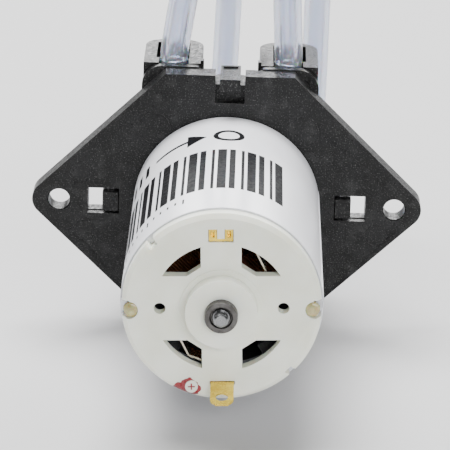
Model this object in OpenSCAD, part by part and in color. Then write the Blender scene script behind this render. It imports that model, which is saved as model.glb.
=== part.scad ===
// Small dosing pump: a brushed motor turns three rollers inside a clip-on head, and the
// rollers roll a soft tube flat against the wall of the head.
// Millimetres. The origin is on the motor axis, in the back face of the mounting plate.
// +Y runs along the axis towards the pump head, and +Z towards the two tube outlets.

/* [Mounting plate] */
// Distance between the centres of the two mounting holes
hole_pitch = 50; // [49:0.5:52]
// Diameter of a mounting hole
hole_d = 3.2; // [2.6:0.1:3.4]
// Thickness of the plate
plate_t = 3.3; // [3.1:0.1:3.6]
// Height of the flat edge above the axis
plate_half_h = 20.1; // [19.9:0.1:20.6]
// Half the length of the flat edge
plate_flat = 9.5; // [9:0.1:10]
// Where the slanted edges would meet, from the axis
plate_point = 30.2; // [30:0.1:31.5]
// Radius of the rounded tips
tip_r = 2.7; // [2:0.1:3.2]

/* [Motor] */
// Outside diameter of the steel can
can_d = 27.5; // [27.3:0.1:27.9]
// Length from the plate to the rear face of the end cap
motor_len = 40; // [39.5:0.1:41]
// How far the end cap stands behind the rim of the can
cap_proud = 2; // [1.8:0.1:2.3]
// Diameter of the motor shaft
shaft_d = 2.3; // [2.2:0.05:2.4]
// Rear end of the shaft beyond the end cap
shaft_tail = 4.5; // [4.2:0.1:5]
// Diameter of the rear end of the shaft
tail_d = 2; // [1.8:0.05:2.1]
// How far the end cap is turned on the can, in degrees
cap_turn = -2.1; // [-4:0.1:4]

/* [Pump head] */
// Outside diameter of the round housing
head_d = 31.7; // [31.7:0.1:32.4]
// Front face of the housing, measured from the back of the plate
head_front = 16; // [15.9:0.1:17]
// Diameter of the wall that the tube runs round
track_d = 28.9; // [28.9:0.1:29.1]
// Diameter of a roller
roller_d = 11.04; // [10.8:0.02:11.08]
// Length of a roller
roller_len = 6.5; // [6:0.1:6.5]

/* [Tube] */
// Outside diameter of the tube
tube_d = 4.2; // [4:0.1:4.2]
// Thickness of the tube where the rollers press it flat
pressed_t = 1.9; // [1.7:0.05:1.9]
// Sideways distance of each tube from the middle
tube_x = 8.5; // [8.4:0.1:8.6]

/* [Hidden] */
$fn = 64;
eps = 0.02;           // overlap of a cut past the face it opens
fit = 0.02;           // radial room of a pressed or glued fit
run = 0.04;           // radial room of a running fit

// Plate
hole_chamfer = 0.2;
lobe_t = 1.2;         // rounded lips in front of the plate that close the tube slots
lobe_front = plate_t + lobe_t;
window_in = 16.05;    // clip windows, from the axis
window_out = 20.7;
window_half = 2.0;
through_half = 1.88;  // the part of a clip window that goes through
ledge_y = 1.3;        // depth of the recess that holds a barb
side_ledge = 16.65;   // ledge that a side barb catches, from the axis
top_ledge = 18.35;
notch_floor = 15.9;
notch_half = 2.2;
boss_r = 5;           // round boss on the motor's front face
boss_h = 1.3;
screw_x = 8;
screw_r = 1.3;
screw_head_r = 2.4;
screw_seat = 1.75;    // depth of the screw seats, from the back of the plate
screw_end = -3;
slot_w = 0.44;        // cross slots in the screw heads
slot_len = 2.6;
slot_depth = 0.85;
shaft_hole_r = 3.4;

// Head
head_r = head_d / 2;
track_r = track_d / 2;
head_back = plate_t + 0.05;
front_wall = 2;
collar_in = 4.25;     // tube collars, sideways from the middle
collar_out = 12.95;
collar_top = 20.4;
collar_far = 16.4;
collar_r = 3;
slot_half = 2.45;
slot_far = 14.8;
throat_half = tube_d / 2 + 0.1;
swing_r = 3.3;        // room for the tube to swing out to the track
swing_z = 11;
clip_half = 1.5;
clip_top = 19.95;
clip_under = 18.05;
hook_in = 16.2;
hook_out = 18.5;
hook_half = 1.45;
hook_back = -0.35;
clip_back = -1.3;     // the top and bottom clips stand this far behind the plate
clip_from = 4.1;
clip_to = 5.7;
clip_rim = 0.4;       // raised frame on top of a clip
clip_dip = 0.25;
hook_from = 6.6;
hook_to = 9;
nib_x = [4.0, 4.5];   // locating nib beside each collar
nib_z = [15, 20.9];
nib_front = 5.6;
slot_shift = 0.2;     // the wide part of a tube slot is set this far outwards
slot_step = 7.2;
throat_front = 8;
swing_x = 8.9;
swing_front = 13;
face_recess_r = 12.4; // shallow moulded recess in the front face
face_recess_t = 0.5;
face_hub_r = 4.2;
pivot_boss_t = 1.6;

// Rollers and carrier
orbit_r = shaft_d / 2 + roller_d / 2 + 0.03;
roller_y = 5.4;
roller_end = roller_y + roller_len;
pin_r = 1.25;
disc_r = 11.6;
disc_gap = 0.3;
rear_disc_y = [3.9, roller_y - disc_gap];
front_disc_y = [roller_end + disc_gap, roller_end + 1.3];
pivot_r = 2;
pivot_end = head_front - 0.8;
post_r = 1.1;
post_orbit = 10.3;
groove_r = 0.8;       // lightening grooves in a roller's ends, which also show that it turns
groove_orbit = 3.4;
groove_depth = 2;

// Tube in the head
tube_r = tube_d / 2;
tube_y = lobe_front + 0.1 + tube_r;   // along the axis, at the collars
arc_y = 8.6;                          // along the axis, under the rollers
arc_r = track_r - 0.1 - pressed_t / 2;
arc_from = 58;                        // degrees from the top where the tube meets the track
pressed_half = 2.85;                  // half the width of the pressed tube
tube_sides = 12;
lead_steps = 8;
arc_steps = 25;

// Motor
can_r = can_d / 2;
can_wall = 1;
can_in = can_r - can_wall;
can_rear = -motor_len + cap_proud;
label_t = 0.13;
shaft_r = shaft_d / 2;
shaft_front = 11.7;
cap_back = -motor_len;
cap_r = can_r - 0.15;
cap_wall = 1.6;
cap_inner = cap_back + cap_wall;
skirt_end = -34;
skirt_in = 11.4;
hub_r = 4.9;
hub_h = 2.3;
bush_r = 2.25;
bush_h = 3.5;
window_r = 9.3;       // openings between the arms of the end cap
arm_half_x = 2.74;
arm_half_z = 4.7;
corner_cut = [4.65, 6.0];
sign_at = [-4.22, 0, -11.5];   // raised disc with the polarity sign
sign_r = 0.87;
paint_blobs = [[-5.2, -12.05, 1.6], [-6.2, -11.1, 0.8]];   // X, Z and radius
tab_z = [-11.2, -10.87];
tab_half = 1.6;
tab_len = 4.9;        // free length of the positive terminal
strip_half = 1.65;    // negative terminal: strip along its foot, and two pads beyond
strip_z = [9.65, 10.05];
pad_x = 1.1;
pad_half = 0.55;
pad_z = [10, 11.4];
pad_sunk = 0.25;      // below the end cap's rear face
slot_gap = 0.05;      // room around the terminals in the end cap
dimple_at = [8.4, 0, 0];
dimple_r = 0.8;
pocket_at = [12.6, 0, -0.3];
pocket_r = 1.25;
tab_bend = 14;        // degrees that its free end is bent down
eyelet_r = 0.87;
eyelet_at = 3.3;      // from the end cap to the middle of the eyelet
magnet_y = [-33.4, -4.5];
magnet_r = 9.6;
core_y = [-27.5, -10.5];
core_r = 9.1;
poles = 5;
insulator_t = 0.4;
coil_y = [-29.7, -8.3];
comm_y = [-37.6, -32.4];
comm_r = 3.4;
comm_in = 2.4;
comm_slot = 0.36;     // gap between commutator segments
leaf_t = 0.25;
leaf_y = [-38.2, -35.6];
bearing_r = 3;
bearing_back = -1.8;
washer_r = 2.2;
spacer_r = 2.4;
web_w = 2.2;          // webs of a lamination, from its hub to its pole shoes
web_from = 3;
web_len = 5.2;
core_hub_r = 4.2;
shoe_t = 1.2;

// Free tubes: route points, each from a collar mouth over and down behind the head
left_route = [
    [-8.5, 6.7, 20.4], [-8.5, 6.7, 21], [-8.2, 6.7, 23.5], [-7.7, 6.9, 27], [-7.1, 7.6, 31],
    [-6.4, 9.5, 36], [-5.5, 12.8, 41], [-4.5, 17.3, 45], [-3.5, 22.5, 47], [-2.6, 28, 46.6], [-1.8, 33, 44],
    [-1.2, 37.2, 39.6], [-0.8, 40.3, 34], [-0.6, 42, 28], [-0.8, 42.8, 21], [-1, 43, 14],
    [-1.2, 43.1, 7], [-1.4, 43.4, 1], [-1.8, 44.5, -5], [-2.6, 47.2, -10.8], [-3.8, 51.5, -15.3],
    [-5.4, 57.1, -17.6], [-7.2, 63, -18], [-9, 69, -18]
];
right_route = [
    [8.5, 6.7, 20.4], [8.5, 6.7, 21], [8.4, 6.7, 23.5], [8.2, 6.8, 27], [8, 7.5, 31],
    [8.1, 9.4, 36], [8.5, 12.6, 41], [9.2, 17, 45], [10.1, 22.1, 47.2], [11, 27.6, 47], [11.8, 32.6, 44.6],
    [12.5, 36.8, 40.4], [13, 40, 35], [13.3, 41.8, 29], [13.4, 42.6, 22], [13.4, 42.8, 15],
    [13.4, 42.9, 8], [13.3, 43.2, 2], [13, 44.2, -4], [12.4, 46.7, -10], [11.6, 50.8, -14.8],
    [10.6, 56.2, -17.5], [9.6, 62, -18], [8.6, 68, -18]
];
cord_sides = 10;

module rod(r, y0, y1) {
    translate([0, y0, 0]) rotate([-90, 0, 0]) cylinder(r = r, h = y1 - y0);
}

module cone(r0, r1, y0, y1) {
    translate([0, y0, 0]) rotate([-90, 0, 0]) cylinder(r1 = r0, r2 = r1, h = y1 - y0);
}

module ring(r_out, r_in, y0, y1) {
    difference() {
        rod(r_out, y0, y1);
        rod(r_in, y0 - eps, y1 + eps);
    }
}

// Draws an outline in the X-Z plane and carries it from y0 to y1
module slab(y0, y1) {
    translate([0, y1, 0]) rotate([90, 0, 0]) linear_extrude(y1 - y0) children();
}

module block(lo, hi) {
    translate(lo) cube(hi - lo);
}

module both_sides() {
    children();
    mirror([1, 0, 0]) children();
}

module around(count, start = 0) {
    for (i = [0:count - 1]) rotate([0, start + i * 360 / count, 0]) children();
}

// ---- Mounting plate ----

module plate_outline() {
    slant = atan2(plate_half_h, plate_point - plate_flat);
    tip_x = plate_point - tip_r / sin(slant);
    end_x = tip_x + tip_r * sin(slant);
    end_z = tip_r * cos(slant);
    polygon([
        [-plate_flat, plate_half_h], [plate_flat, plate_half_h], [end_x, end_z],
        [end_x, -end_z], [plate_flat, -plate_half_h], [-plate_flat, -plate_half_h],
        [-end_x, -end_z], [-end_x, end_z]
    ]);
    for (side = [-1, 1]) translate([side * tip_x, 0]) circle(tip_r);
}

module lobe_outline() {
    outer = 13.1;
    inner = 4.3;
    low = 16;
    top = 20.3;
    outer_r = 3;
    inner_r = 0.8;
    difference() {
        union() {
            translate([inner, low]) square([outer - inner - outer_r, top - low - inner_r]);
            translate([inner + inner_r, low]) square([outer - inner - inner_r - outer_r, top - low]);
            translate([inner, low]) square([outer - inner, top - low - outer_r]);
            translate([inner + inner_r, top - inner_r]) circle(inner_r);
            translate([outer - outer_r, top - outer_r]) circle(outer_r);
        }
        circle(head_r + 0.1);
    }
}

module through_hole(x) {
    translate([x, 0, 0]) {
        rod(hole_d / 2, -eps, plate_t + eps);
        cone(hole_d / 2 + hole_chamfer + eps, hole_d / 2, -eps, hole_chamfer);
        cone(hole_d / 2, hole_d / 2 + hole_chamfer + eps, plate_t - hole_chamfer, plate_t + eps);
    }
}

module clip_window() {
    block([window_in, -1, -window_half], [window_out, ledge_y, window_half]);
    block([side_ledge, 0, -through_half], [window_out, plate_t + 1, through_half]);
}

module clip_notch() {
    open_z = plate_half_h + 1;
    block([-notch_half, -1, notch_floor], [notch_half, ledge_y, open_z]);
    block([-notch_half, 0, top_ledge], [notch_half, plate_t + 1, open_z]);
}

module ejector_marks() {
    depth = 0.08;
    for (m = [[11, 11.8, 2.4], [21.4, 3.9, 1.65], [-21.9, 4.5, 1.65], [-21.1, -4.8, 1.65],
              [22.4, -4.1, 1.65], [-11, 11.8, 2.4]])
        translate([m[0], 0, m[1]]) ring(m[2], m[2] - 0.12, -eps, depth);
}

module mounting_plate() color([0.09, 0.09, 0.095]) {
    difference() {
        union() {
            slab(0, plate_t) plate_outline();
            both_sides() slab(plate_t - eps, lobe_front) lobe_outline();
        }
        both_sides() {
            through_hole(hole_pitch / 2);
            clip_window();
            translate([screw_x, 0, 0]) {
                rod(screw_r + 0.15, -eps, plate_t + eps);
                rod(screw_head_r + 0.1, screw_seat, plate_t + eps);
            }
        }
        clip_notch();
        mirror([0, 0, 1]) clip_notch();
        rod(boss_r + 0.1, -eps, boss_h + 0.1);
        rod(shaft_hole_r, 0, plate_t + eps);
        ejector_marks();
    }
}

// ---- Pump head ----

// Outline of one collar, seen from above
module collar_outline() {
    near = lobe_front + 0.05;
    w = collar_out - collar_in;
    translate([collar_in, near]) square([w, collar_far - near - collar_r]);
    translate([collar_in + collar_r, near]) square([w - 2 * collar_r, collar_far - near]);
    for (x = [collar_in + collar_r, collar_out - collar_r])
        translate([x, collar_far - collar_r]) circle(collar_r);
}

module collar() {
    foot = 8;
    translate([0, 0, foot]) linear_extrude(collar_top - foot) collar_outline();
    block([nib_x[0], lobe_front + 0.05, nib_z[0]], [nib_x[1], nib_front, nib_z[1]]);
}

module tube_slot() {
    foot = 9;
    top = collar_top + 1;
    block([tube_x - throat_half, head_back - 1, foot], [tube_x + throat_half, throat_front, top]);
    block([tube_x + slot_shift - slot_half, slot_step, foot],
          [tube_x + slot_shift + slot_half, slot_far, top]);
    translate([swing_x, 0, swing_z]) rod(swing_r, head_back - 1, swing_front);
}

module side_clip() {
    block([head_r - 0.4, hook_from, -hook_half], [hook_out, hook_to, hook_half]);
    block([side_ledge + 0.1, ledge_y - 0.2, -hook_half + 0.1],
          [hook_out, hook_from + 0.1, hook_half - 0.1]);
    block([hook_in, hook_back, -hook_half], [hook_out, ledge_y - 0.05, hook_half]);
}

module top_clip() {
    arm_under = top_ledge + 0.1;
    difference() {
        union() {
            block([-clip_half, clip_from, head_r - 0.4], [clip_half, clip_to, clip_top]);
            block([-clip_half, ledge_y - 0.2, arm_under], [clip_half, clip_from + 0.9, clip_top]);
            block([-clip_half, clip_back, clip_under], [clip_half, ledge_y - 0.05, clip_top]);
        }
        block([clip_rim - clip_half, clip_back + clip_rim + 0.1, clip_top - clip_dip],
              [clip_half - clip_rim, clip_to - 0.5, clip_top + 1]);
    }
}

module housing_shell() {
    edge = 2;
    len = head_front - head_back;
    translate([0, head_back, 0]) rotate([-90, 0, 0]) rotate_extrude($fn = 96)
        polygon(concat([[0, 0], [head_r, 0]],
            [for (a = [0:15:90]) [head_r - edge + edge * cos(a), len - edge + edge * sin(a)]],
            [[0, len]]));
}

module pump_housing() color([0.09, 0.09, 0.095]) {
    boss_back = front_disc_y[1] + 0.3;
    wall_back = head_front - front_wall;
    difference() {
        union() {
            difference() {
                union() {
                    housing_shell();
                    both_sides() collar();
                }
                rod(track_r, head_back - 1, wall_back);
                both_sides() tube_slot();
            }
            both_sides() side_clip();
            top_clip();
            mirror([0, 0, 1]) top_clip();
            rod(pivot_r + pivot_boss_t, boss_back, wall_back + eps);
        }
        rod(pivot_r + run, boss_back - eps, pivot_end + 0.1);
        difference() {
            rod(face_recess_r, head_front - face_recess_t, head_front + eps);
            rod(face_hub_r, head_front - 1, head_front + 1);
        }
    }
}

// ---- Tubes ----

function unit(v) = v / norm(v);
function smooth(t) = t * t * (3 - 2 * t);
function bezier(p, t) =
    pow(1 - t, 3) * p[0] + 3 * pow(1 - t, 2) * t * p[1] + 3 * (1 - t) * t * t * p[2] + pow(t, 3) * p[3];
function flip_x(p) = [-p[0], p[1], p[2]];
function reversed(list) = [for (i = [len(list) - 1:-1:0]) list[i]];
function tangent(path, i) =
    unit(path[min(i + 1, len(path) - 1)] - path[max(i - 1, 0)]);

// Sweeps an oval along a path. half[i] gives its half sizes: first across, then along the guide
module sweep(path, half, guide, sides) {
    n = len(path);
    points = [for (i = [0:n - 1])
        let (t = tangent(path, i), a = unit(cross(t, guide)), b = cross(a, t))
        for (k = [0:sides - 1])
            path[i] + half[i][0] * cos(k * 360 / sides) * a + half[i][1] * sin(k * 360 / sides) * b];
    walls = [for (i = [0:n - 2]) for (k = [0:sides - 1])
        let (m = (k + 1) % sides)
        [i * sides + k, (i + 1) * sides + k, (i + 1) * sides + m, i * sides + m]];
    first = [for (k = [0:sides - 1]) k];
    last = [for (k = [sides - 1:-1:0]) (n - 1) * sides + k];
    polyhedron(points, concat([first], walls, [last]));
}

module pump_tube() color([0.86, 0.87, 0.9]) {
    meet = [arc_r * sin(arc_from), arc_y, arc_r * cos(arc_from)];
    lead = [[tube_x, tube_y, collar_top], [tube_x, tube_y, collar_top - 6],
            meet - 3 * [cos(arc_from), 0, -sin(arc_from)], meet];
    lead_path = [for (i = [0:lead_steps - 1]) bezier(lead, i / lead_steps)];
    lead_half = [for (i = [0:lead_steps - 1]) let (s = smooth(i / lead_steps))
        [tube_r + s * (pressed_t / 2 - tube_r), tube_r + s * (pressed_half - tube_r)]];
    arc = [for (i = [0:arc_steps]) let (a = arc_from + i * (360 - 2 * arc_from) / arc_steps)
        [arc_r * sin(a), arc_y, arc_r * cos(a)]];
    arc_half = [for (i = [0:arc_steps]) [pressed_t / 2, pressed_half]];
    sweep(concat(lead_path, arc, reversed([for (p = lead_path) flip_x(p)])),
          concat(lead_half, arc_half, reversed(lead_half)), [0, 1, 0], tube_sides);
}

module free_tube(route) {
    sweep(route, [for (p = route) [tube_r, tube_r]], [1, 0, 0], cord_sides);
}

module left_tube() color([0.86, 0.87, 0.9]) free_tube(left_route);
module right_tube() color([0.86, 0.87, 0.9]) free_tube(right_route);

// ---- Rollers and carrier ----

module carrier_rear() color([0.85, 0.85, 0.82]) {
    difference() {
        rod(disc_r, rear_disc_y[0], rear_disc_y[1]);
        rod(shaft_r + 0.9, 0, roller_y);
        around(3) translate([0, 0, orbit_r]) rod(pin_r + fit, 0, roller_y);
    }
    around(3, 60) translate([0, 0, post_orbit]) rod(post_r, rear_disc_y[1] - eps, front_disc_y[0]);
}

module carrier_front() color([0.85, 0.85, 0.82]) {
    difference() {
        rod(disc_r, front_disc_y[0], front_disc_y[1]);
        around(3) translate([0, 0, orbit_r]) rod(pin_r + fit, roller_end, front_disc_y[1] + 1);
    }
    rod(pivot_r, front_disc_y[1] - eps, pivot_end);
}

module roller_pin(i) color([0.72, 0.72, 0.74]) {
    rotate([0, i * 120, 0]) translate([0, 0, orbit_r])
        rod(pin_r, rear_disc_y[0] + 0.1, front_disc_y[1] - 0.1);
}

module roller(i) color([0.93, 0.93, 0.9]) {
    rotate([0, i * 120, 0]) translate([0, 0, orbit_r]) difference() {
        rod(roller_d / 2, roller_y, roller_end);
        rod(pin_r + run, roller_y - 1, roller_end + 1);
        around(6) translate([0, 0, groove_orbit]) {
            rod(groove_r, roller_y - 1, roller_y + groove_depth);
            rod(groove_r, roller_end - groove_depth, roller_end + 1);
        }
    }
}

// ---- Motor: fixed parts ----

module motor_can() color([0.7, 0.71, 0.73]) {
    difference() {
        union() {
            rod(can_r, can_rear, 0);
            rod(boss_r, -eps, boss_h);
        }
        rod(can_in, can_rear - 1, -can_wall);
        rod(bearing_r + fit, -can_wall - 1, boss_h + 1);
        both_sides() translate([screw_x, 0, 0]) rod(screw_r + 0.03, -can_wall - 1, 1);
    }
    // edge staked into the pockets of the end cap
    rotate([0, cap_turn, 0]) both_sides() intersection() {
        ring(can_r - 0.05, can_r - 0.9, can_rear - 1.3, can_rear + 0.4);
        block([11, can_rear - 2, -0.6], [can_r + 1, can_rear + 1, 0.9]);
    }
}

module motor_label() color([0.93, 0.93, 0.93]) {
    ring(can_r + 0.02 + label_t, can_r + 0.02, can_rear + 0.1, -0.2);
}

module motor_screws() color([0.6, 0.6, 0.62]) {
    both_sides() translate([screw_x, 0, 0]) difference() {
        union() {
            rod(screw_head_r, screw_seat + 0.02, plate_t - 0.05);
            rod(screw_r, screw_end, screw_seat + 0.1);
        }
        for (turn = [0, 90]) rotate([0, turn, 0])
            block([-slot_len / 2, plate_t - 0.05 - slot_depth, -slot_w / 2],
                  [slot_len / 2, plate_t + 1, slot_w / 2]);
    }
}

module front_bearing() color([0.72, 0.6, 0.36]) {
    ring(bearing_r, shaft_r + run, bearing_back, boss_h + 0.1);
}

module magnet() {
    half_angle = 58;
    intersection() {
        ring(can_in - 0.05, magnet_r, magnet_y[0], magnet_y[1]);
        slab(magnet_y[0] - 1, magnet_y[1] + 1)
            polygon([[0, 0], [20 * cos(half_angle), -20 * sin(half_angle)], [20, -20],
                     [20, 20], [20 * cos(half_angle), 20 * sin(half_angle)]]);
    }
}

module magnet_left() color([0.2, 0.2, 0.21]) mirror([1, 0, 0]) magnet();
module magnet_right() color([0.2, 0.2, 0.21]) magnet();

// Bowed spring strip that holds the magnets apart
module magnet_spring() {
    half_angle = 30.5;
    difference() {
        intersection() {
            ring(can_in - 0.05, can_in - 0.5, magnet_y[0] + 3, magnet_y[1] - 3);
            slab(magnet_y[0], magnet_y[1])
                polygon([[0, 0], [20 * sin(half_angle), 20 * cos(half_angle)],
                         [-20 * sin(half_angle), 20 * cos(half_angle)]]);
        }
        block([-3, magnet_y[0] + 6, 10], [3, magnet_y[1] - 6, 14]);
    }
}

module magnet_spring_top() color([0.68, 0.69, 0.72]) magnet_spring();
module magnet_spring_bottom() color([0.68, 0.69, 0.72]) mirror([0, 0, 1]) magnet_spring();

// ---- Motor: turning parts ----

module motor_shaft() color([0.75, 0.76, 0.78]) {
    tail = cap_back - shaft_tail;
    step = cap_back - bush_h + 0.3;
    bevel = 0.25;
    rod(tail_d / 2, tail + bevel, step + eps);
    cone(tail_d / 2 - bevel, tail_d / 2, tail, tail + bevel + eps);
    rod(shaft_r, step, shaft_front - bevel);
    cone(shaft_r, shaft_r - bevel, shaft_front - bevel - eps, shaft_front);
}

module shaft_washers() color([0.5, 0.32, 0.2]) {
    ring(washer_r, shaft_r + fit, cap_inner + 0.05, cap_inner + 0.35);
    ring(washer_r, shaft_r + fit, bearing_back - 0.4, bearing_back - 0.1);
}

module shaft_spacer() color([0.9, 0.9, 0.86]) {
    ring(spacer_r, shaft_r + fit, coil_y[1] + 0.3, bearing_back - 0.5);
}

// One lamination: hub and pole webs, with shoes when full is true
module lamination(full) {
    half_angle = 30;
    difference() {
        union() {
            circle(core_hub_r);
            for (i = [0:poles - 1]) rotate(i * 360 / poles) {
                translate([-web_w / 2, web_from]) square([web_w, web_len]);
                if (full) intersection() {
                    difference() {
                        circle(core_r);
                        circle(core_r - shoe_t);
                    }
                    polygon([[0, 0], [12 * sin(half_angle), 12 * cos(half_angle)],
                             [-12 * sin(half_angle), 12 * cos(half_angle)]]);
                }
            }
        }
        circle(shaft_r + fit);
    }
}

module armature_core() color([0.35, 0.35, 0.37]) slab(core_y[0], core_y[1]) lamination(true);

module armature_insulators() color([0.55, 0.16, 0.12]) {
    slab(core_y[0] - insulator_t, core_y[0]) lamination(false);
    slab(core_y[1], core_y[1] + insulator_t) lamination(false);
}

module armature_windings() color([0.62, 0.3, 0.14]) {
    spread = 33;
    room = 0.05;
    around(poles) difference() {
        intersection() {
            ring(core_r - shoe_t - 0.05, core_hub_r + 0.05, coil_y[0], coil_y[1]);
            slab(coil_y[0] - 1, coil_y[1] + 1)
                polygon([[0, 0], [12 * sin(spread), 12 * cos(spread)],
                         [-12 * sin(spread), 12 * cos(spread)]]);
        }
        block([-web_w / 2 - room, core_y[0] - insulator_t - room, 2],
              [web_w / 2 + room, core_y[1] + insulator_t + room, 9]);
    }
}

module commutator_core() color([0.3, 0.12, 0.08]) {
    ring(comm_in - fit, shaft_r + fit, comm_y[0] - 0.3, coil_y[0] + 1.4);
}

module commutator() color([0.8, 0.5, 0.25]) difference() {
    union() {
        ring(comm_r, comm_in, comm_y[0], comm_y[1]);
        ring(4.4, comm_in, comm_y[1] - eps, comm_y[1] + 0.5);
    }
    around(poles, 36) block([-comm_slot / 2, comm_y[0] - 1, 0], [comm_slot / 2, comm_y[1] + 1, 6]);
}

// ---- Motor: end cap ----

module cap_window() {
    intersection() {
        rod(window_r, cap_back - 1, cap_inner + 1);
        slab(cap_back - 2, cap_inner + 2)
            polygon([[arm_half_x, corner_cut[1]], [corner_cut[0], arm_half_z],
                     [window_r + 1, arm_half_z], [window_r + 1, window_r + 1],
                     [arm_half_x, window_r + 1]]);
    }
}

module cap_body() {
    bevel = 0.6;
    cone(cap_r - bevel, cap_r, cap_back, cap_back + bevel);
    rod(cap_r, cap_back + bevel - eps, can_rear - 0.02);
    ring(can_in - 0.05, skirt_in, can_rear - 0.1, skirt_end);
    rod(5.65, cap_back - 0.2, cap_back + 1);
    rod(hub_r, cap_back - hub_h, cap_inner);
    translate(sign_at) rod(sign_r, cap_back - 0.3, cap_back + 1);
}

module motor_end_cap() color([0.9, 0.89, 0.84]) rotate([0, cap_turn, 0]) difference() {
    cap_body();
    rod(skirt_in, cap_inner, can_rear + eps);
    rod(bush_r + fit, cap_back - hub_h - 1, cap_inner + 1);
    both_sides() {
        cap_window();
        mirror([0, 0, 1]) cap_window();
        translate(dimple_at) rod(dimple_r, cap_back - 1, cap_inner + 1);
        // pocket for the staked edge of the can
        translate(pocket_at) rod(pocket_r, cap_back - 1, cap_back + 1);
        block([12.5, cap_back - 1, -1.3], [can_r + 1, can_rear, 1.1]);
    }
    for (turn = [45, 225]) rotate([0, -turn, 0])
        block([-0.6, cap_back - 1, cap_r - 0.9], [0.6, can_rear, cap_r + 1]);
    // terminal slots
    block([-tab_half - 0.1, cap_back - 1, tab_z[0] - 0.12], [tab_half + 0.1, can_rear + 1, tab_z[1] + 0.1]);
    block([-strip_half - slot_gap, cap_back - 1, strip_z[0] - slot_gap],
          [strip_half + slot_gap, can_rear + 1, strip_z[1] + slot_gap]);
    both_sides() block([pad_x - pad_half - slot_gap, cap_back - 1, strip_z[0]],
                       [pad_x + pad_half + slot_gap, can_rear + 1, pad_z[1] + slot_gap]);
    // polarity sign
    translate(sign_at) for (turn = [0, 90]) rotate([0, turn, 0])
        block([-0.5, cap_back - 1, -0.11], [0.5, cap_back - 0.15, 0.11]);
}

module rear_bearing() color([0.62, 0.62, 0.6]) difference() {
    ring(bush_r, shaft_r + run, cap_back - bush_h, cap_inner);
    rod(1.5, cap_back - bush_h - 1, cap_back - bush_h + 0.5);
}

// Dab of paint beside the positive terminal
module polarity_mark() color([0.75, 0.06, 0.08]) rotate([0, cap_turn, 0])
    slab(cap_back - 0.1, cap_back - 0.01) difference() {
        intersection() {
            circle(cap_r - 0.65);
            for (blob = paint_blobs) translate([blob[0], blob[1]]) circle(blob[2]);
        }
        translate([sign_at[0], sign_at[2]]) circle(sign_r + 0.04);
    }

module positive_terminal() color([0.85, 0.66, 0.25]) rotate([0, cap_turn, 0]) {
    t = tab_z[1] - tab_z[0];
    block([-tab_half, cap_back - 0.1, tab_z[0]], [tab_half, can_rear + 0.5, tab_z[1]]);
    translate([0, cap_back, tab_z[1]]) rotate([tab_bend, 0, 0]) difference() {
        translate([0, 0, -t]) linear_extrude(t)
            polygon([[-tab_half, 0.05], [tab_half, 0.05], [tab_half, 1 - tab_len], [1.45, 0.6 - tab_len],
                     [1.15, 0.3 - tab_len], [0.95, 0.25 - tab_len], [0.92, -tab_len],
                     [-0.92, -tab_len], [-0.95, 0.25 - tab_len], [-1.15, 0.3 - tab_len],
                     [-1.45, 0.6 - tab_len], [-tab_half, 1 - tab_len]]);
        translate([0, -eyelet_at, -1]) cylinder(r = eyelet_r, h = 2);
    }
}

module negative_terminal() color([0.85, 0.66, 0.25]) rotate([0, cap_turn, 0]) {
    face = cap_back + pad_sunk;
    hollow = pad_half - 0.3;
    difference() {
        union() {
            block([-strip_half, face, strip_z[0]], [strip_half, can_rear + 0.5, strip_z[1]]);
            both_sides() block([pad_x - pad_half, face, pad_z[0]],
                               [pad_x + pad_half, can_rear + 0.5, pad_z[1]]);
        }
        both_sides() block([pad_x - hollow, face - 1, pad_z[0] + hollow],
                           [pad_x + hollow, face + 0.9, pad_z[1] - hollow]);
    }
}

// Leaf spring from a terminal to its brush. foot_z is where its foot meets the terminal
module brush_arm(foot_z) {
    top = [[0.4, 9.5], [4.7, 7.8], [6.0, 5.0], [6.35, 1.5], [6.35, -1.5]];
    slab(leaf_y[0], leaf_y[1])
        polygon(concat(top, reversed([for (p = top) p - leaf_t * unit([p[0] + 4, p[1] + 3])])));
    block([-0.6, leaf_y[0] - 0.15, 9.2], [0.6, leaf_y[1], foot_z]);
}

module brush_arm_right() color([0.8, 0.62, 0.3]) rotate([0, cap_turn, 0]) brush_arm(9.63);
module brush_arm_left() color([0.8, 0.62, 0.3]) rotate([0, cap_turn + 180, 0]) brush_arm(10.78);

module brush() difference() {
    block([comm_r - 0.3, leaf_y[0] + 0.4, -1.1], [6.05, leaf_y[1], 1.1]);
    rod(comm_r + 0.06, leaf_y[0] - 1, leaf_y[1] + 1);
}

module brush_right() color([0.15, 0.15, 0.16]) rotate([0, cap_turn, 0]) brush();
module brush_left() color([0.15, 0.15, 0.16]) rotate([0, cap_turn + 180, 0]) brush();

mounting_plate();
pump_housing();
pump_tube();
left_tube();
right_tube();
carrier_rear();
carrier_front();
roller_pin(0);  // roller_pin_1
roller_pin(1);  // roller_pin_2
roller_pin(2);  // roller_pin_3
roller(0);  // roller_1
roller(1);  // roller_2
roller(2);  // roller_3
motor_can();
motor_label();
motor_screws();
front_bearing();
motor_shaft();
shaft_washers();
shaft_spacer();
armature_core();
armature_insulators();
armature_windings();
commutator_core();
commutator();
magnet_left();
magnet_right();
magnet_spring_top();
magnet_spring_bottom();
motor_end_cap();
rear_bearing();
polarity_mark();
positive_terminal();
negative_terminal();
brush_arm_left();
brush_arm_right();
brush_left();
brush_right();
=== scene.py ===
"""Looks of a small dosing pump: a brushed motor, its mounting plate, the pump head and two soft tubes.

Everything is in metres, in the frame of the CAD model: X to the right, +Y along the axis towards the
pump head, +Z up, with the origin in the back face of the mounting plate.
"""

import math

import bmesh
import bpy
from mathutils import Matrix, Vector


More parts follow.
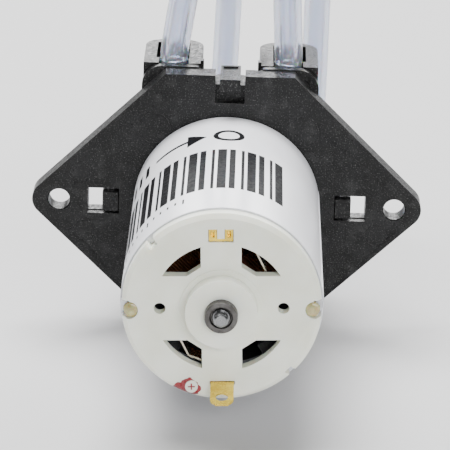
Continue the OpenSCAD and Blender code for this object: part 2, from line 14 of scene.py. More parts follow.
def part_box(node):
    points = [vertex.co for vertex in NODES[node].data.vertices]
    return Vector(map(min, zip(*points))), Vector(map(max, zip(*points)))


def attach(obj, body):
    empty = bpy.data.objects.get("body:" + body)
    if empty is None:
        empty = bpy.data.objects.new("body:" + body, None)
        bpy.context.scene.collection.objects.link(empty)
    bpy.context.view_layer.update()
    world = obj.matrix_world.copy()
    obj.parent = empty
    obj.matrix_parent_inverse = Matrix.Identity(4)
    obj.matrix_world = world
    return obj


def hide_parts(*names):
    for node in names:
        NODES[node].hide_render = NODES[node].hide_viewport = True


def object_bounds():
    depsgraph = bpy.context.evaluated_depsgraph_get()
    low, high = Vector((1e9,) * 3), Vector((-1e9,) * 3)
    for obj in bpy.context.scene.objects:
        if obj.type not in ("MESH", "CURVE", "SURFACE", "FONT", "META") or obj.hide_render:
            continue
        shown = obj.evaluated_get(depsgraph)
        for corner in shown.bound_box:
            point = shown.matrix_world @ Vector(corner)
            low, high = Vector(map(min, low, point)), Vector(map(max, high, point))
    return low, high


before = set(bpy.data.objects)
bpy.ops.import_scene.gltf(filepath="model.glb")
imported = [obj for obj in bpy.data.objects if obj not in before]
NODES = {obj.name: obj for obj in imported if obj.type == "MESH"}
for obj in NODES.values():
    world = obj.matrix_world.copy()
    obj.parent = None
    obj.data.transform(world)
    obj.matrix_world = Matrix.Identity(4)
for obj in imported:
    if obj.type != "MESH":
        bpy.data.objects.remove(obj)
CAD_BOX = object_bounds()

MM = 0.001


# ---- Camera ----

CAMERA_TARGET = Vector((-0.12, 0.0, -3.27)) * MM
CAMERA_YAW = math.radians(-0.34)
CAMERA_PITCH = math.radians(21.04)
CAMERA_ROLL = math.radians(1.78)
CAMERA_DISTANCE = 406.14 * MM
CAMERA_LENS = 217.2
SENSOR = 36.0


def make_camera():
    """A long lens a little above the motor's rear end."""
    forward = Vector((
        math.sin(CAMERA_YAW) * math.cos(CAMERA_PITCH),
        math.cos(CAMERA_YAW) * math.cos(CAMERA_PITCH),
        -math.sin(CAMERA_PITCH),
    ))
    level = Vector((math.cos(CAMERA_YAW), -math.sin(CAMERA_YAW), 0.0))
    upright = level.cross(forward)
    right = level * math.cos(CAMERA_ROLL) + upright * math.sin(CAMERA_ROLL)
    up = upright * math.cos(CAMERA_ROLL) - level * math.sin(CAMERA_ROLL)
    data = bpy.data.cameras.new("camera")
    data.lens = CAMERA_LENS
    data.sensor_width = SENSOR
    data.clip_start = 0.01
    camera = bpy.data.objects.new("camera", data)
    bpy.context.scene.collection.objects.link(camera)
    turn = Matrix((right, up, -forward)).transposed().to_4x4()
    camera.matrix_world = Matrix.Translation(CAMERA_TARGET - forward * CAMERA_DISTANCE) @ turn
    bpy.context.scene.camera = camera


make_camera()


# ---- Node materials ----

class Surface:
    """A material made of nodes. Grain sizes are in millimetres, in the object's own coordinates."""

    def __init__(self, name, color, roughness, **sockets):
        self.material = bpy.data.materials.new(name)
        self.material.use_nodes = True
        self.material.diffuse_color = (*color, 1.0)
        self.tree = self.material.node_tree
        self.shader = self.tree.nodes["Principled BSDF"]
        self.shader.inputs["Base Color"].default_value = (*color, 1.0)
        self.shader.inputs["Roughness"].default_value = roughness
        for key, value in sockets.items():
            self.shader.inputs[key.replace("_", " ")].default_value = value
        self.place = self.node("ShaderNodeTexCoord").outputs["Object"]
        self.normal = None

    def node(self, kind, **settings):
        made = self.tree.nodes.new(kind)
        for key, value in settings.items():
            setattr(made, key, value)
        return made

    def link(self, source, target):
        self.tree.links.new(source, target)

    def stretched(self, scale):
        """Coordinates with each axis multiplied, so that a grain can run along one of them."""
        mapping = self.node("ShaderNodeMapping")
        mapping.inputs["Scale"].default_value = scale
        self.link(self.place, mapping.inputs["Vector"])
        return mapping.outputs["Vector"]

    def noise(self, size, detail=2.0, along=None):
        made = self.node("ShaderNodeTexNoise")
        made.inputs["Scale"].default_value = 1.0 / (size * MM)
        made.inputs["Detail"].default_value = detail
        self.link(self.stretched(along) if along else self.place, made.inputs["Vector"])
        return made.outputs["Fac"]

    def cells(self, size, along=None):
        """Distance to the nearest of scattered points, about size apart."""
        made = self.node("ShaderNodeTexVoronoi")
        made.inputs["Scale"].default_value = 1.0 / (size * MM)
        self.link(self.stretched(along) if along else self.place, made.inputs["Vector"])
        return made.outputs["Distance"]

    def bands(self, size, axis="Y", distortion=0.0):
        """Fine parallel lines, such as turning marks or turns of wire."""
        made = self.node("ShaderNodeTexWave", bands_direction=axis)
        made.inputs["Scale"].default_value = 0.314 / (size * MM)
        made.inputs["Distortion"].default_value = distortion
        self.link(self.place, made.inputs["Vector"])
        return made.outputs["Fac"]

    def spread(self, source, low, high, start=0.35, end=0.65):
        """Takes source from start..end to low..high."""
        made = self.node("ShaderNodeMapRange")
        for key, value in (("From Min", start), ("From Max", end), ("To Min", low), ("To Max", high)):
            made.inputs[key].default_value = value
        self.link(source, made.inputs["Value"])
        return made.outputs["Result"]

    def tint(self, factor, other):
        """Mixes the colour so far with another, by factor."""
        made = self.node("ShaderNodeMix", data_type="RGBA")
        color = self.shader.inputs["Base Color"]
        if color.is_linked:
            self.link(color.links[0].from_socket, made.inputs[6])
        else:
            made.inputs[6].default_value = color.default_value
        made.inputs[7].default_value = (*other, 1.0)
        self.link(factor, made.inputs[0])
        self.link(made.outputs[2], color)
        return self

    def rough(self, factor, low, high, start=0.35, end=0.65):
        self.link(self.spread(factor, low, high, start, end), self.shader.inputs["Roughness"])
        return self

    def bump(self, height, depth):
        """Adds relief of that depth in millimetres."""
        made = self.node("ShaderNodeBump")
        made.inputs["Distance"].default_value = depth * MM
        made.inputs["Strength"].default_value = 1.0
        self.link(height, made.inputs["Height"])
        if self.normal:
            self.link(self.normal, made.inputs["Normal"])
        self.normal = made.outputs["Normal"]
        self.link(self.normal, self.shader.inputs["Normal"])
        return self


def black_nylon():
    """Glass-filled nylon: dark grey, with pale flecks of fibre and an eggshell sheen."""
    s = Surface("black_nylon", (0.003, 0.003, 0.003), 0.4, Specular_IOR_Level=0.25)
    s.tint(s.spread(s.noise(4.0, 3.0), 0.0, 0.9, 0.4, 0.62), (0.008, 0.008, 0.0085))
    s.tint(s.spread(s.noise(2.2, 5.0), 0.0, 0.7, 0.52, 0.7), (0.026, 0.026, 0.026))
    s.tint(s.spread(s.noise(0.2, 3.0), 0.0, 0.85, 0.57, 0.73), (0.115, 0.115, 0.112))
    s.rough(s.noise(0.5, 3.0), 0.26, 0.5)
    s.bump(s.noise(1.6, 3.0), 0.03)
    return s.bump(s.noise(0.2, 3.0), 0.026).material


def highlight_edge_nylon():
    """The same nylon, smoother, and paler along the edges as a painted highlight."""
    s = Surface("highlight_edge_nylon", (0.03, 0.03, 0.031), 0.36, Specular_IOR_Level=0.6)
    s.tint(s.spread(s.noise(0.35, 4.0), 0.0, 1.0, 0.5, 0.62), (0.12, 0.12, 0.12))
    s.rough(s.noise(0.4, 3.0), 0.28, 0.5)
    return s.bump(s.noise(0.2, 3.0), 0.015).material


def milky_nylon():
    s = Surface("milky_nylon", (0.87, 0.885, 0.79), 0.4, Subsurface_Weight=0.35, Subsurface_Scale=0.001)
    s.shader.inputs["Subsurface Radius"].default_value = (1.2, 1.0, 0.75)
    s.tint(s.spread(s.noise(5.0), 0.0, 0.8), (0.79, 0.8, 0.68))
    s.rough(s.noise(0.8), 0.34, 0.46)
    return s.bump(s.noise(0.9, 3.0), 0.006).material


def white_acetal():
    s = Surface("white_acetal", (0.82, 0.82, 0.79), 0.35, Subsurface_Weight=0.15, Subsurface_Scale=0.001)
    s.tint(s.spread(s.noise(2.5), 0.0, 0.5), (0.77, 0.77, 0.73))
    s.rough(s.noise(0.6), 0.28, 0.42)
    return s.bump(s.bands(0.12, distortion=1.0), 0.003).material


def silicone():
    """Clear silicone rubber with a faint milky blue cast, and drawing lines along the tube."""
    s = Surface("silicone", (0.8, 0.84, 0.96), 0.14, IOR=1.41, Transmission_Weight=0.82,
                Subsurface_Weight=0.6, Subsurface_Scale=0.001)
    s.tint(s.spread(s.noise(3.0, along=(1.0, 1.0, 0.3)), 0.0, 0.5), (0.74, 0.78, 0.92))
    s.rough(s.noise(0.9), 0.08, 0.18)
    return s.bump(s.noise(1.0, 1.0, along=(1.0, 1.0, 0.1)), 0.006).material


def metal(name, color, dark, low, high, grain=0.5, relief=0.004):
    """Bare metal with patches of a darker tone."""
    s = Surface(name, color, low, Metallic=1.0)
    s.tint(s.spread(s.noise(grain * 4.0, 3.0), 0.0, 0.7), dark)
    s.rough(s.noise(grain, 3.0), low, high)
    return s.bump(s.noise(grain * 0.4, 3.0), relief)


def plated_steel():
    return metal("plated_steel", (0.62, 0.63, 0.65), (0.5, 0.51, 0.54), 0.28, 0.45).material


def steel():
    s = metal("steel", (0.3, 0.305, 0.31), (0.2, 0.2, 0.205), 0.24, 0.38)
    return s.bump(s.bands(0.07, distortion=0.5), 0.002).material


def silicon_steel():
    s = metal("silicon_steel", (0.2, 0.2, 0.21), (0.12, 0.11, 0.11), 0.4, 0.6)
    return s.bump(s.bands(0.5), 0.03).material


def porous(name, color, dark):
    """Sintered metal, with open pores that hold oil."""
    s = metal(name, color, dark, 0.32, 0.55, grain=0.3)
    pores = s.spread(s.cells(0.16), 0.0, 1.0, 0.05, 0.3)
    return s.bump(pores, 0.012).material


def sintered_iron():
    return porous("sintered_iron", (0.15, 0.145, 0.14), (0.065, 0.06, 0.057))


def bronze():
    return porous("bronze", (0.5, 0.34, 0.15), (0.34, 0.22, 0.1))


def brass():
    s = metal("brass", (0.93, 0.69, 0.12), (0.62, 0.42, 0.06), 0.18, 0.34)
    return s.bump(s.noise(0.12, 2.0, along=(1.0, 0.1, 1.0)), 0.004).material


def copper():
    """Enamelled winding wire, dark with varnish."""
    s = metal("copper", (0.22, 0.09, 0.045), (0.085, 0.036, 0.02), 0.25, 0.45)
    return s.bump(s.bands(0.28, "DIAGONAL", 1.5), 0.08).material


def dull(name, color, light, low, high, grain, relief):
    """A dark, dry surface such as ferrite or pressed carbon."""
    s = Surface(name, color, low)
    s.tint(s.spread(s.noise(grain, 4.0), 0.0, 0.8), light)
    s.rough(s.noise(grain * 1.5), low, high)
    return s.bump(s.noise(grain * 0.6, 3.0), relief).material


def ferrite():
    return dull("ferrite", (0.05, 0.05, 0.055), (0.09, 0.09, 0.095), 0.45, 0.65, 0.3, 0.02)


def carbon():
    return dull("carbon", (0.03, 0.03, 0.032), (0.08, 0.06, 0.05), 0.35, 0.55, 0.12, 0.01)


def resin_board():
    return dull("resin_board", (0.22, 0.06, 0.035), (0.32, 0.1, 0.05), 0.4, 0.6, 0.35, 0.01)


def label_paper():
    s = Surface("label_paper", (0.92, 0.925, 0.97), 0.38, Coat_Weight=0.35, Coat_Roughness=0.18)
    s.tint(s.spread(s.noise(6.0), 0.0, 0.5), (0.87, 0.87, 0.89))
    s.rough(s.noise(0.5, 3.0), 0.34, 0.46)
    s.bump(s.noise(0.25, 3.0), 0.004)
    return s.bump(s.noise(6.0, along=(1.0, 0.4, 1.0)), 0.08).material


def label_ink():
    s = Surface("label_ink", (0.006, 0.006, 0.007), 0.6, Specular_IOR_Level=0.05)
    s.tint(s.spread(s.noise(0.12, 2.0), 0.0, 1.0, 0.62, 0.74), (0.04, 0.04, 0.04))
    s.rough(s.noise(0.6), 0.4, 0.55)
    return s.bump(s.noise(0.25, 3.0), 0.004).material


def pocket_glue():
    s = Surface("pocket_glue", (0.5, 0.46, 0.23), 0.2, Subsurface_Weight=0.8, Subsurface_Scale=0.0006,
                Coat_Weight=0.6, Coat_Roughness=0.05)
    s.tint(s.spread(s.noise(0.8), 0.0, 0.9), (0.34, 0.3, 0.12))
    s.rough(s.noise(0.5), 0.14, 0.3)
    return s.bump(s.noise(0.7), 0.05).material


def red_paint():
    s = Surface("red_paint", (0.27, 0.004, 0.01), 0.3, Coat_Weight=0.3, Coat_Roughness=0.1)
    s.tint(s.spread(s.noise(0.7), 0.0, 0.8), (0.2, 0.003, 0.007))
    s.rough(s.noise(0.5), 0.22, 0.42)
    return s.bump(s.noise(0.4, 3.0), 0.03).material


MATERIALS = {make.__name__: make() for make in (
    black_nylon, milky_nylon, white_acetal, silicone, plated_steel, steel, silicon_steel,
    sintered_iron, bronze, brass, copper, ferrite, carbon, resin_board, label_paper, red_paint,
)}
INK = label_ink()
LEAF = metal("leaf_spring", (0.6, 0.55, 0.46), (0.42, 0.37, 0.29), 0.2, 0.35).material
GLUE = pocket_glue()
# The paler edge nylon: a painted highlight along the rounded edges.
EDGE_HIGHLIGHT = highlight_edge_nylon()


# ---- Pieces ----

SHARP_EDGE = 35.0       # degrees between faces that make an edge worth rounding


def finish(piece, slot_name, paint=None):
    """Gives a piece its material and slot. Every drawn piece is fixed to the pump's body."""
    piece.data.materials.clear()
    piece.data.materials.append(paint or MATERIALS[slot_name])
    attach(piece, "pump_body")


def new_piece(name, vertices, faces, sharp=30.0):
    """A mesh object, smooth except where its faces meet at more than sharp degrees."""
    mesh = bpy.data.meshes.new(name)
    mesh.from_pydata([tuple(v) for v in vertices], [], faces)
    mesh.validate()
    edit = bmesh.new()
    edit.from_mesh(mesh)
    if all(edge.is_manifold for edge in edit.edges):
        bmesh.ops.recalc_face_normals(edit, faces=edit.faces)
    edit.to_mesh(mesh)
    edit.free()
    piece = bpy.data.objects.new(name, mesh)
    bpy.context.scene.collection.objects.link(piece)
    smooth(mesh, sharp)
    return piece


def smooth(mesh, sharp=30.0):
    mesh.shade_smooth()
    mesh.set_sharp_from_angle(angle=math.radians(sharp))


def copied(node, name):
    """A copy of a CAD node, its triangles rejoined into whole faces, that stands in for it."""
    mesh = NODES[node].data.copy()
    edit = bmesh.new()
    edit.from_mesh(mesh)
    bmesh.ops.remove_doubles(edit, verts=edit.verts, dist=0.002 * MM)
    bmesh.ops.dissolve_limit(edit, angle_limit=math.radians(0.5), verts=edit.verts, edges=edit.edges)
    edit.to_mesh(mesh)
    edit.free()
    piece = bpy.data.objects.new(name, mesh)
    bpy.context.scene.collection.objects.link(piece)
    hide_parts(node)
    return piece


def softened(node, name, width, edge_slot=-1):
    """A copy of a CAD node with its edges rounded to that width in millimetres. edge_slot is the
    place of the edges' material in the piece's list, or -1 for the faces' own."""
    piece = copied(node, name)
    smooth(piece.data, SHARP_EDGE)
    bevel = piece.modifiers.new("edges", "BEVEL")
    bevel.width = width * MM
    bevel.segments = 2
    bevel.limit_method = "ANGLE"
    bevel.angle_limit = math.radians(SHARP_EDGE)
    bevel.harden_normals = True
    bevel.material = edge_slot
    return piece


# ---- Free tubes ----

TUBE_D = 4.2
TUBE_BORE = 2.0
TUBE_SIDES = 40
LEFT_ROUTE = [
    [-8.5, 6.7, 20.4], [-8.5, 6.7, 21], [-8.2, 6.7, 23.5], [-7.7, 6.9, 27], [-7.1, 7.6, 31],
    [-6.4, 9.5, 36], [-5.5, 12.8, 41], [-4.5, 17.3, 45], [-3.5, 22.5, 47], [-2.6, 28, 46.6],
    [-1.8, 33, 44], [-1.2, 37.2, 39.6], [-0.8, 40.3, 34], [-0.6, 42, 28], [-0.8, 42.8, 21],
    [-1, 43, 14], [-1.2, 43.1, 7], [-1.4, 43.4, 1], [-1.8, 44.5, -5], [-2.6, 47.2, -10.8],
    [-3.8, 51.5, -15.3], [-5.4, 57.1, -17.6], [-7.2, 63, -18], [-9, 69, -18],
]
RIGHT_ROUTE = [
    [8.5, 6.7, 20.4], [8.5, 6.7, 21], [8.4, 6.7, 23.5], [8.2, 6.8, 27], [8, 7.5, 31],
    [8.1, 9.4, 36], [8.5, 12.6, 41], [9.2, 17, 45], [10.1, 22.1, 47.2], [11, 27.6, 47],
    [11.8, 32.6, 44.6], [12.5, 36.8, 40.4], [13, 40, 35], [13.3, 41.8, 29], [13.4, 42.6, 22],
    [13.4, 42.8, 15], [13.4, 42.9, 8], [13.3, 43.2, 2], [13, 44.2, -4], [12.4, 46.7, -10],
    [11.6, 50.8, -14.8], [10.6, 56.2, -17.5], [9.6, 62, -18], [8.6, 68, -18],
]


def flowing(route, steps=4):
    """A smooth line through every point of a route."""
    ends = [route[0] * 2 - route[1]] + route + [route[-1] * 2 - route[-2]]
    line = []
    for a, b, c, d in zip(ends, ends[1:], ends[2:], ends[3:]):
        for i in range(steps):
            t = i / steps
            line.append(0.5 * (2 * b + (c - a) * t + (2 * a - 5 * b + 4 * c - d) * t ** 2
                               + (3 * b - a - 3 * c + d) * t ** 3))
    return line + [route[-1]]


def rings_along(line, radius, guide, sides):
    """Circles round a line, each turned square to it."""
    rings = []
    for i, point in enumerate(line):
        along = (line[min(i + 1, len(line) - 1)] - line[max(i - 1, 0)]).normalized()
        across = along.cross(guide).normalized()
        other = across.cross(along)
        rings.append([point + radius * (math.cos(a) * across + math.sin(a) * other)
                      for a in (k * math.tau / sides for k in range(sides))])
    return rings


def skin(loops, closed=False):
    """Vertices and faces of a surface through equal rings of points, in order."""
    sides = len(loops[0])
    vertices = [v for loop in loops for v in loop]
    last = len(loops) if closed else len(loops) - 1
    faces = []
    for i in range(last):
        here, there = i * sides, (i + 1) % len(loops) * sides
        for k in range(sides):
            m = (k + 1) % sides
            faces.append((here + k, here + m, there + m, there + k))
    return vertices, faces


def free_tube(side, route):
    """One hollow tube, cut square at its free end."""
    route = [Vector(p) * MM for p in route]
    line = flowing(route)
    guide = Vector((1, 0, 0))
    outside = rings_along(line, TUBE_D / 2 * MM, guide, TUBE_SIDES)
    inside = rings_along(line, TUBE_BORE / 2 * MM, guide, TUBE_SIDES)
    piece = new_piece(f"{side}_hose", *skin(outside + inside[::-1], closed=True), sharp=50.0)
    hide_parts(f"{side}_tube")
    finish(piece, "silicone")


free_tube("left", LEFT_ROUTE)
free_tube("right", RIGHT_ROUTE)


# The tube inside the head, as in the CAD source: from each collar to the track, and round it
COLLAR_TOP = 20.4
TUBE_X = 8.5
TUBE_Y = 6.7
ARC_R = 13.4
ARC_Y = 8.6
ARC_FROM = 58.0          # degrees from the top where the tube meets the track
PRESSED_HALF = (0.95, 2.85)
WALL = (TUBE_D - TUBE_BORE) / 2
LEAD_STEPS = 18
ARC_STEPS = 72


def on_arc(degrees):
    a = math.radians(degrees)
    return Vector((ARC_R * math.sin(a), ARC_Y, ARC_R * math.cos(a)))


def pressed_tube():
    """A hollow tube that goes from round at the collars to flat under the rollers."""
    a = math.radians(ARC_FROM)
    meet = on_arc(ARC_FROM)
    lead = (Vector((TUBE_X, TUBE_Y, COLLAR_TOP)), Vector((TUBE_X, TUBE_Y, COLLAR_TOP - 6)),
            meet - 3 * Vector((math.cos(a), 0, -math.sin(a))), meet)
    down = []
    for i in range(LEAD_STEPS):
        t = i / LEAD_STEPS
        weights = ((1 - t) ** 3, 3 * (1 - t) ** 2 * t, 3 * (1 - t) * t * t, t ** 3)
        down.append((sum((w * p for w, p in zip(weights, lead)), Vector()), t * t * (3 - 2 * t)))
    turn = (360 - 2 * ARC_FROM) / ARC_STEPS
    line = down + [(on_arc(ARC_FROM + turn * i), 1.0) for i in range(ARC_STEPS + 1)]
    line += [(Vector((-point.x, point.y, point.z)), flat) for point, flat in reversed(down)]

    outside, inside = [], []
    for i, (point, flat) in enumerate(line):
        along = (line[min(i + 1, len(line) - 1)][0] - line[max(i - 1, 0)][0]).normalized()
        across = along.cross(Vector((0, 1, 0))).normalized()
        other = across.cross(along)
        halves = [TUBE_D / 2 + flat * (half - TUBE_D / 2) for half in PRESSED_HALF]
        for rings, cut in ((outside, 0.0), (inside, WALL)):
            wide, tall = (max(half - cut, 0.04) for half in halves)
            rings.append([(point + wide * math.cos(b) * across + tall * math.sin(b) * other) * MM
                          for b in (k * math.tau / TUBE_SIDES for k in range(TUBE_SIDES))])
    piece = new_piece("squeezed_tube", *skin(outside + inside[::-1], closed=True), sharp=60.0)
    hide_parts("pump_tube")
    finish(piece, "silicone")


pressed_tube()


# ---- Label ----

LABEL_LOW, LABEL_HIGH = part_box("motor_label")
LABEL_R = LABEL_HIGH.x
SHEET_T = 0.07 * MM
LAP_FROM = 79.0
LAP_OVER = 6.0
INK_T = 0.012 * MM


def on_can(angle, y, radius):
    """A point at an angle in degrees from the top towards +X."""
    a = math.radians(angle)
    return Vector((radius * math.sin(a), y, radius * math.cos(a)))


def label():
    """One sheet wrapped round the can, with its end lapped over its start."""
    low, high = LABEL_LOW.y, LABEL_HIGH.y
    base = LABEL_R - 2 * SHEET_T
    loops = []
    steps = 244
    for i in range(steps + 1):
        turned = i / steps * (360 + LAP_OVER)
        angle = LAP_FROM + turned
        ease = min(max((LAP_OVER + 6.0 - turned) / 6.0, 0.0), 1.0)
        inner = base + SHEET_T * ease * ease * (3 - 2 * ease)
        outer = inner + SHEET_T
        loops.append([on_can(angle, low, inner), on_can(angle, low, outer),
                      on_can(angle, high, outer), on_can(angle, high, inner)])
    vertices, faces = skin(loops)
    count = len(vertices)
    faces += [(3, 2, 1, 0), (count - 4, count - 3, count - 2, count - 1)]
    piece = new_piece("paper_label", vertices, faces)
    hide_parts("motor_label")
    finish(piece, "label_paper")


label()

BAR_STEP = 1.75         # degrees
BAR_START = 34.8
BAR_Y = (-30.3, -14.4)
MARK_Y = -8.4           # middle of the arrow and the ring beyond the bars
TICK_Y = -32.2
BARS = [3, 1, 1, 2, 2, 1] * 7    # a plain repeating pattern: a bar, a gap, a bar and so on


class Print:
    """Ink patches on the label, each a thin solid that follows the curve."""

    def __init__(self):
        self.vertices = []
        self.faces = []

    def patch(self, stations, step=2.0):
        """stations are (angle, low y, high y) in degrees and millimetres, joined by straight edges."""
        fine = []
        for a, b in zip(stations, stations[1:]):
            count = max(1, math.ceil(abs(b[0] - a[0]) / step))
            fine += [tuple(p + (q - p) * i / count for p, q in zip(a, b)) for i in range(count)]
        fine.append(stations[-1])
        loops = []
        under, over = LABEL_R - 1.5 * SHEET_T, LABEL_R - SHEET_T + INK_T
        for angle, low, high in fine:
            loops.append([on_can(angle, low * MM, under), on_can(angle, low * MM, over),
                          on_can(angle, high * MM, over), on_can(angle, high * MM, under)])
        vertices, faces = skin(loops)
        start, count = len(self.vertices), len(vertices)
        self.vertices += vertices
        self.faces += [tuple(start + k for k in face) for face in faces]
        self.faces += [tuple(start + k for k in (3, 2, 1, 0)),
                       tuple(start + count - k for k in (4, 3, 2, 1))]

    def loop(self, angle, y, radius, width):
        """A printed circle, as an upper and a lower half."""
        degrees = 180 / math.pi / (LABEL_R / MM)
        count = 32
        for sign in (1, -1):
            stations = []
            for i in range(count + 1):
                x = 0.999 * radius * (2 * i / count - 1)
                rim = math.sqrt(max(radius ** 2 - x ** 2, 0))
                hole = math.sqrt(max((radius - width) ** 2 - x ** 2, 0))
                stations.append((angle + x * degrees, *sorted((y + sign * hole, y + sign * rim))))
            self.patch(stations)


def printed_marks():
    """A plain bar pattern, a direction arrow and a row of ticks."""
    ink = Print()
    angle = BAR_START
    for i, run in enumerate(BARS):
        end = angle - run * BAR_STEP
        if i % 2 == 0:
            ink.patch([(end, *BAR_Y), (angle, *BAR_Y)])
        angle = end
    ink.loop(angle=0.5, y=MARK_Y, radius=2.3, width=0.75)
    tail, neck, tip = -48, -24.5, -13
    ink.patch([(tail, MARK_Y - 0.4, MARK_Y + 0.4), (neck + 0.5, MARK_Y - 0.4, MARK_Y + 0.4)])
    ink.patch([(neck - 0.5, MARK_Y - 2.3, MARK_Y + 2.3), (tip, MARK_Y - 0.05, MARK_Y + 0.05)])
    for k in range(3):
        start = -58 - 8 * k
        ink.patch([(start, MARK_Y - 2.1, MARK_Y + 2.1), (start + 3.4, MARK_Y - 2.1, MARK_Y + 2.1)])
    for k in range(14):
        start = -25 - 5 * k
        tall = 1.6 if k % 5 == 0 else 0.9
        ink.patch([(start, TICK_Y - tall, TICK_Y), (start + 1.1, TICK_Y - tall, TICK_Y)])
    piece = new_piece("label_print", ink.vertices, ink.faces)
    finish(piece, "label_paper", paint=INK)


printed_marks()


# ---- Plate, head, motor ends: rounded copies of the CAD nodes ----

SOFTENED = (
    # node, piece, slot, edge width
    ("motor_end_cap", "end_cap_moulding", "milky_nylon", 0.15),
    ("positive_terminal", "positive_tab", "brass", 0.05),
    ("negative_terminal", "negative_clip", "brass", 0.05),
    ("rear_bearing", "rear_bush", "sintered_iron", 0.22),
    ("motor_can", "steel_can", "plated_steel", 0.2),
)
# Plate and head, whose rounded edges take the paler nylon as a painted highlight.
HIGHLIGHT_EDGED_PIECES = (
    ("mounting_plate", "plate_moulding", 0.1),
    ("pump_housing", "head_moulding", 0.12),
)

for node, name, slot_name, width in SOFTENED:
    finish(softened(node, name, width), slot_name)

for node, name, width in HIGHLIGHT_EDGED_PIECES:
    moulding = softened(node, name, width, edge_slot=1)
    finish(moulding, "black_nylon")
    # The edges' paler colour is a painted highlight.
    moulding.data.materials.append(EDGE_HIGHLIGHT)


# ---- Small finishes on the end cap ----

CAP_TURN = math.radians(-2.1)
HUB_H = 2.3
CAP_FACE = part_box("motor_end_cap")[0].y + HUB_H * MM
POCKETS = (("pocket_glue_left", -12.3), ("pocket_glue_right", 12.3))
POCKET_Z = -0.3
GLUE_R = 1.05
SIGN = (-4.22, -11.5)
SIGN_ARM = 0.48
SIGN_HALF = 0.1
DAB = (-4.95, -12.15)
RIM_FROM = 13.0         # where the cap's bevelled rim starts and ends, from its middle
RIM_END = 13.55


def on_cap(x, z, proud=0.0):
    """A point on the end cap's rear face, from millimetres in the cap's own turned frame."""
    across = x * math.cos(CAP_TURN) + z * math.sin(CAP_TURN)
    up = z * math.cos(CAP_TURN) - x * math.sin(CAP_TURN)
    return Vector((across, 0.0, up)) * MM + Vector((0, CAP_FACE - proud * MM, 0))


def drop(name, center, radius, depth, dome):
    """A round drop of glue: a dome on a short plug that sinks to depth below the face."""
    rings = []
    steps, sides = 7, 32
    shoulder = -0.45 * depth
    profile = [(radius, -depth), (radius, shoulder)]
    for i in range(1, steps + 1):
        a = i / steps * math.pi / 2
        profile.append((radius * math.cos(a) + 0.01, shoulder + dome * math.sin(a)))
    for r, proud in profile:
        ring = []
        for k in range(sides):
            a = k * math.tau / sides
            wobble = 1 + 0.04 * math.sin(3 * a + center[0]) + 0.03 * math.sin(5 * a)
            ring.append(on_cap(center[0] + r * wobble * math.cos(a),
                               center[1] + r * wobble * math.sin(a), proud))
        rings.append(ring)
    vertices, faces = skin(rings)
    faces.append(tuple(range(sides)))
    faces.append(tuple(reversed(range(len(vertices) - sides, len(vertices)))))
    return new_piece(name, vertices, faces, sharp=60.0)


def paint_dab():
    """A thin ragged film of paint that runs from the end cap's face over its bevelled rim."""
    sides, rings = 96, 9
    under = -0.06
    loops = []
    for i in range(rings + 2):
        t = max(min(i, rings) / rings, 0.02)
        loop = []
        for k in range(sides):
            a = k * math.tau / sides
            reach = t * (1.85 + 0.2 * math.sin(2 * a + 0.4) + 0.13 * math.sin(5 * a + 1.0)
                         + 0.07 * math.sin(11 * a) + 0.04 * math.sin(19 * a + 2.0))
            x, z = DAB[0] + reach * math.cos(a), DAB[1] + reach * math.sin(a)
            far = math.hypot(x, z)
            if far > RIM_END:
                x, z, far = x * RIM_END / far, z * RIM_END / far, RIM_END
            film = under if i > rings else 0.06 * (1 - t ** 8) - 0.01
            loop.append(on_cap(x, z, film - max(far - RIM_FROM, 0.0)))
        loops.append(loop)
    vertices, faces = skin(loops)
    count = len(vertices)
    faces += [tuple(range(sides)), tuple(reversed(range(count - sides, count)))]
    piece = new_piece("paint_film", vertices, faces, sharp=70.0)
    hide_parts("polarity_mark")
    finish(piece, "red_paint")


def cap_finishes():
    """Glue in the two crimp pockets, and paint in the engraved sign."""
    for name, x in POCKETS:
        finish(drop(name, (x, POCKET_Z), GLUE_R, 0.75, 0.35), "milky_nylon", paint=GLUE)
    arm, half = SIGN_ARM, SIGN_HALF
    plus = [(half, half), (half, arm), (-half, arm), (-half, half), (-arm, half), (-arm, -half),
            (-half, -half), (-half, -arm), (half, -arm), (half, -half), (arm, -half), (arm, half)]
    vertices, faces = skin([[on_cap(SIGN[0] + x, SIGN[1] + z, proud) for x, z in plus]
                            for proud in (-0.14, 0.22)])
    count = len(plus)
    faces += [tuple(range(count)), tuple(reversed(range(count, 2 * count)))]
    finish(new_piece("paint_sign", vertices, faces), "red_paint")


paint_dab()
cap_finishes()


# ---- CAD nodes that keep their shape ----

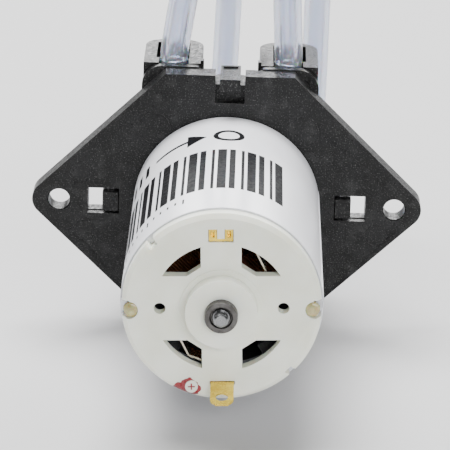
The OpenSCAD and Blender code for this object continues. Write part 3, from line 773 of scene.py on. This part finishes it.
KEPT = {
    "white_acetal": ("carrier_rear", "carrier_front", "roller_1", "roller_2", "roller_3", "shaft_spacer"),
    "steel": ("roller_pin_1", "roller_pin_2", "roller_pin_3", "motor_screws", "motor_shaft"),
    "bronze": ("front_bearing",),
    "resin_board": ("shaft_washers", "armature_insulators", "commutator_core"),
    "silicon_steel": ("armature_core",),
    "copper": ("armature_windings", "commutator"),
    "ferrite": ("magnet_left", "magnet_right"),
    "plated_steel": ("magnet_spring_top", "magnet_spring_bottom"),
    "brass": ("brush_arm_left", "brush_arm_right"),
    "carbon": ("brush_left", "brush_right"),
}

LOOKS = {"brush_arm_left": LEAF, "brush_arm_right": LEAF}

for slot_name, nodes in KEPT.items():
    for node in nodes:
        mesh = NODES[node].data
        mesh.materials.clear()
        mesh.materials.append(LOOKS.get(node, MATERIALS[slot_name]))


# ---- Floor and light ----

FLOOR_Z = CAD_BOX[0][2]
FLOOR_HALF = 3.0


def floor():
    s = Surface("floor_paint", (0.6, 0.6, 0.6), 0.8)
    s.tint(s.spread(s.noise(60.0), 0.0, 0.3), (0.57, 0.57, 0.575))
    corners = [(x * FLOOR_HALF, y * FLOOR_HALF, FLOOR_Z) for x, y in ((-1, -1), (1, -1), (1, 1), (-1, 1))]
    piece = new_piece("floor", corners, [(0, 1, 2, 3)])
    piece.data.materials.append(s.material)


def area_light(name, place, aim, size, power):
    data = bpy.data.lights.new(name, "AREA")
    data.shape = "RECTANGLE"
    data.size, data.size_y = size
    data.energy = power
    light = bpy.data.objects.new(name, data)
    bpy.context.scene.collection.objects.link(light)
    light.location = place
    light.rotation_euler = (Vector(aim) - Vector(place)).to_track_quat("-Z", "Y").to_euler()


floor()
area_light("overhead", (-0.08, 0.12, 0.5), (0, -0.01, 0), (0.4, 0.3), 7.8)
area_light("behind", (0.05, 0.85, 0.37), (0, 0, 0.01), (0.9, 0.3), 9.5)
area_light("front_fill", (0.2, -0.6, 0.3), (0, 0, 0), (0.4, 0.3), 3.8)

world = bpy.data.worlds.new("studio")
world.use_nodes = True
world.node_tree.nodes["Background"].inputs["Color"].default_value = (0.9, 0.92, 0.95, 1.0)
world.node_tree.nodes["Background"].inputs["Strength"].default_value = 0.19
bpy.context.scene.world = world
